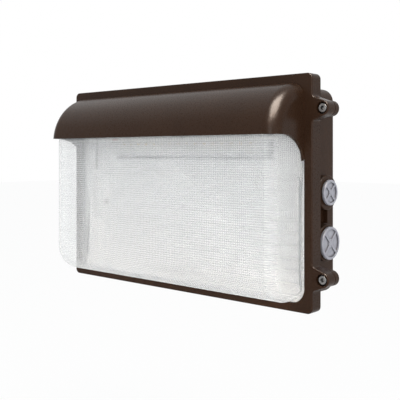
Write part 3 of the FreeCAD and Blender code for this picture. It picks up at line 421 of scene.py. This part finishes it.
def prismTree(material):  # presses a valley into the glass along every second row and column of points
    tree, sockets, source = growthTree("lensPrisms", ["Rib height"], takesMesh=True)
    waves = [mathNode(tree, "PINGPONG", layerValue(tree, layer), 1.0) for layer in ("ribsAcross", "ribsUp")]
    share = mathNode(tree, "MULTIPLY", mathNode(tree, "ADD", waves[0], waves[1]), layerValue(tree, "outside"))
    depth = mathNode(tree, "MULTIPLY", share, source.outputs["Rib height"])
    shift = addNode(tree, "ShaderNodeVectorMath", operation="SCALE")
    tree.links.new(tree.nodes.new("GeometryNodeInputNormal").outputs["Normal"], shift.inputs[0])
    tree.links.new(mathNode(tree, "MULTIPLY", depth, -1.0), shift.inputs["Scale"])
    place = tree.nodes.new("GeometryNodeSetPosition")
    tree.links.new(source.outputs["Geometry"], place.inputs["Geometry"])
    tree.links.new(shift.outputs["Vector"], place.inputs["Offset"])
    endTree(tree, place.outputs["Geometry"], material)
    return tree, sockets


clearGlass = {"color": (0.97, 0.98, 0.98), "tint": (0.99, 0.99, 0.99), "hazeSize": 0.02, "hazeDetail": 4.0,
              "hazeSpan": (0.35, 0.65), "rippleSize": 0.003, "rippleDetail": 2.0, "rippleHeight": 0.00003,
              # the valley colour is painted shade along the prism valleys, standing in for the prisms'
              # refraction
              "valleyShade": (0.72, 0.76, 0.78), "lineSharpness": 2.5,
              "innerCover": 0.03, "outerCover": 0.55,  # how much of the view each skin takes up
              "valleyCover": 0.44, "shadowCover": 0.08,  # shares of that in the valleys and for shadows
              # the edge colour is painted darkening at grazing angles, standing in for the refraction at the
              # glass's edges
              "edge": (0.42, 0.49, 0.52), "grazingShadeFall": 5.0,
              "sockets": {"Transmission Weight": 0.15, "Roughness": 0.10, "IOR": 1.5}}


def attributeValue(tree, name):
    return addNode(tree, "ShaderNodeAttribute", attribute_name=name).outputs["Fac"]


def valleyShadeLines(tree, sharpness):  # the mask for the painted valley shade: 1 along the valleys between the prisms, falling off to their ridges
    waves = [mathNode(tree, "PINGPONG", attributeValue(tree, name), 1.0) for name in ("ribsAcross", "ribsUp")]
    lines = [mathNode(tree, "POWER", wave, sharpness) for wave in waves]
    return mathNode(tree, "MAXIMUM", lines[0], lines[1])


def glassMaterial(name, look):
    material, tree, shader = paintedMaterial(name)
    outside = attributeValue(tree, "outside")
    # painted shade along the prism valleys, with less cover there, standing in for the prisms' refraction
    valleyShadeMask = mathNode(tree, "MULTIPLY", valleyShadeLines(tree, look["lineSharpness"]), outside)
    # painted darkening toward grazing angles, standing in for refraction at the glass's edges; it also raises
    # the cover there
    facing = addNode(tree, "ShaderNodeLayerWeight").outputs["Facing"]
    edge = mathNode(tree, "POWER", facing, look["grazingShadeFall"])
    haze = grainPattern(tree, look["hazeSize"], look["hazeDetail"])
    color = mixColors(tree, valleyShadeMask, toneRamp(tree, haze, look, look["hazeSpan"]), rgba(look["valleyShade"]))
    tree.links.new(mixColors(tree, edge, color, rgba(look["edge"])), shader.inputs["Base Color"])
    ripple = grainPattern(tree, look["rippleSize"], look["rippleDetail"])
    tree.links.new(bumpNormal(tree, ripple, look["rippleHeight"]), shader.inputs["Normal"])
    cover = mapRange(tree, outside, look["innerCover"], look["outerCover"])
    cover = mathNode(tree, "MAXIMUM", cover, edge)
    shadowRay = addNode(tree, "ShaderNodeLightPath").outputs["Is Shadow Ray"]
    cover = mathNode(tree, "MULTIPLY", cover, mapRange(tree, shadowRay, 1.0, look["shadowCover"]))
    cover = mathNode(tree, "MULTIPLY", cover, mapRange(tree, valleyShadeMask, 1.0, look["valleyCover"]))
    tree.links.new(cover, shader.inputs["Alpha"])
    for key, value in look["sockets"].items():
        shader.inputs[key].default_value = value
    return material


lensObject = bpy.data.objects.new("lensGlass", lensMesh(lensBowl))
scene.collection.objects.link(lensObject)
prisms, prismSockets = prismTree(glassMaterial("clearGlass", clearGlass))
grown(lensObject, prisms, {prismSockets["Rib height"]: lensBowl["ribHeight"]})
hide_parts("lens")
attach(lensObject, "door")
print("lens", len(lensObject.data.polygons), "faces")


plugThreads = {"upper": {"center": (-0.023, -0.0009), "radius": 0.01042, "rideOn": "upper_plug"},
               "lower": {"center": (-0.023, -0.0522), "radius": 0.01312, "rideOn": "lower_plug"},
               "from": 0.1656, "to": 0.1738, "pitch": 0.0018, "ridge": 0.00018, "slot": "plug_plastic"}
screwThreads = {"upper": {"center": (0.1915, 0.0827), "radius": 0.00252, "rideOn": "upper_screw"},
                "lower": {"center": (0.1915, -0.0827), "radius": 0.00252, "rideOn": "lower_screw"},
                "from": -0.0530, "to": -0.0456, "pitch": 0.0008, "ridge": 0.00018, "slot": "steel"}
threadDetail = {"stepsRound": 36, "sectionSides": 4}


def threadTree(name, material):  # one helical ridge that climbs along +Z
    tree, sockets, source = growthTree(name, ["Radius", "Length", "Turns", "Ridge"])
    spiral = addNode(tree, "GeometryNodeCurveSpiral")
    spiral.inputs["Resolution"].default_value = threadDetail["stepsRound"]
    for title, target in (("Turns", "Rotations"), ("Radius", "Start Radius"), ("Radius", "End Radius"),
                          ("Length", "Height")):
        tree.links.new(source.outputs[title], spiral.inputs[target])
    section = addNode(tree, "GeometryNodeCurvePrimitiveCircle")
    section.inputs["Resolution"].default_value = threadDetail["sectionSides"]
    tree.links.new(source.outputs["Ridge"], section.inputs["Radius"])
    sweep = tree.nodes.new("GeometryNodeCurveToMesh")
    sweep.inputs["Fill Caps"].default_value = True
    tree.links.new(spiral.outputs["Curve"], sweep.inputs["Curve"])
    tree.links.new(section.outputs["Curve"], sweep.inputs["Profile Curve"])
    endTree(tree, sweep.outputs["Mesh"], material)
    return tree, sockets


def threadObject(name, tree, sockets, thread, part, turn, start):
    thing = bpy.data.objects.new(name, bpy.data.meshes.new(name))
    scene.collection.objects.link(thing)
    length = abs(thread["to"] - thread["from"])
    grown(thing, tree, {sockets["Radius"]: part["radius"], sockets["Length"]: length,
                        sockets["Turns"]: length / thread["pitch"], sockets["Ridge"]: thread["ridge"]})
    thing.data.transform(Matrix.Translation(start) @ turn)
    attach(thing, part["rideOn"])


plugThreadTree, plugSockets = threadTree("plugThread", materials["greyPlug"])
screwThreadTree, screwSockets = threadTree("screwThread", materials["doorScrewSteel"])
alongX = Matrix.Rotation(math.pi / 2, 4, "Y")
alongY = Matrix.Rotation(-math.pi / 2, 4, "X")
for side in ("upper", "lower"):
    part = plugThreads[side]
    threadObject(side + "PlugThread", plugThreadTree, plugSockets, plugThreads, part, alongX,
                 Vector((plugThreads["from"], part["center"][0], part["center"][1])))
    part = screwThreads[side]
    threadObject(side + "ScrewThread", screwThreadTree, screwSockets, screwThreads, part, alongY,
                 Vector((part["center"][0], screwThreads["from"], part["center"][1])))
print("threads on two plugs and two door screws")


backdrop = {"floor": -0.32, "size": 14.0, "tone": (0.95, 0.95, 0.95), "whiteShare": 0.94,
            "room": (0.92, 0.96, 1.0), "roomStrength": 0.60}
white = (1.0, 1.0, 1.0, 1.0)


def seenRay(tree, share):  # share for camera, glossy and transmission rays, 0 for the rest
    path = addNode(tree, "ShaderNodeLightPath").outputs
    seen = mathNode(tree, "MAXIMUM", path["Is Camera Ray"], path["Is Transmission Ray"])
    return mathNode(tree, "MULTIPLY", mathNode(tree, "MAXIMUM", seen, path["Is Glossy Ray"]), share)


def floorMaterial(look):
    material, tree = emptyMaterial("paleFloor")
    output = addNode(tree, "ShaderNodeOutputMaterial")
    matt = setInputs(addNode(tree, "ShaderNodeBsdfDiffuse"), Color=rgba(look["tone"]))
    glow = setInputs(addNode(tree, "ShaderNodeEmission"), Color=white, Strength=1.0)
    surface = mixShaders(tree, seenRay(tree, look["whiteShare"]), matt.outputs["BSDF"],
                         glow.outputs["Emission"])
    tree.links.new(surface, output.inputs["Surface"])
    return material


def paleWorld(look):
    world = bpy.data.worlds.new("paleStudio")
    world.use_nodes = True
    tree = world.node_tree
    tree.nodes.clear()
    output = addNode(tree, "ShaderNodeOutputWorld")
    room = setInputs(addNode(tree, "ShaderNodeBackground"), Color=rgba(look["room"]),
                     Strength=look["roomStrength"])
    sky = setInputs(addNode(tree, "ShaderNodeBackground"), Color=white, Strength=1.0)
    surface = mixShaders(tree, seenRay(tree, 1.0), room.outputs["Background"], sky.outputs["Background"])
    tree.links.new(surface, output.inputs["Surface"])
    return world


reach = backdrop["size"] / 2
floorCorners = [(x, y, backdrop["floor"]) for x, y in ((-reach, -reach), (reach, -reach), (reach, reach),
                                                       (-reach, reach))]
floorMesh = bpy.data.meshes.new("paleFloor")
floorMesh.from_pydata(floorCorners, [], [(0, 1, 2, 3)])
floorMesh.materials.append(floorMaterial(backdrop))
floorObject = bpy.data.objects.new("paleFloor", floorMesh)
scene.collection.objects.link(floorObject)
scene.world = paleWorld(backdrop)

lampAim = Vector((0.0, -0.06, 0.0))
lamps = {"overhead": {"place": (0.30, -0.30, 1.3), "size": 0.5, "power": 5.0, "color": (1.0, 0.96, 0.92)},
         "overLeft": {"place": (-0.9, -0.15, 1.1), "size": 1.1, "power": 1.6, "color": (1.0, 0.98, 0.95)},
         "frontRight": {"place": (1.2, -1.7, 0.3), "size": 0.8, "power": 13.0, "color": (1.0, 0.98, 0.96)},
         "right": {"place": (1.4, -0.40, -0.1), "size": 0.7, "power": 4.5, "color": (1.0, 0.99, 0.98)},
         "glint": {"place": (0.50, -0.50, 1.10), "size": 0.90, "power": 150.0, "color": (1.0, 0.88, 0.77),
                   "glossOnly": True}}
for lampName, lamp in lamps.items():
    lampData = bpy.data.lights.new(lampName, "AREA")
    lampData.size = lamp["size"]
    lampData.energy = lamp["power"]
    lampData.color = lamp["color"]
    lampObject = bpy.data.objects.new(lampName, lampData)
    lampObject.location = lamp["place"]
    lampObject.rotation_euler = (lampAim - Vector(lamp["place"])).to_track_quat("-Z", "Y").to_euler()
    lampObject.visible_diffuse = not lamp.get("glossOnly", False)
    scene.collection.objects.link(lampObject)
print("stage ready")
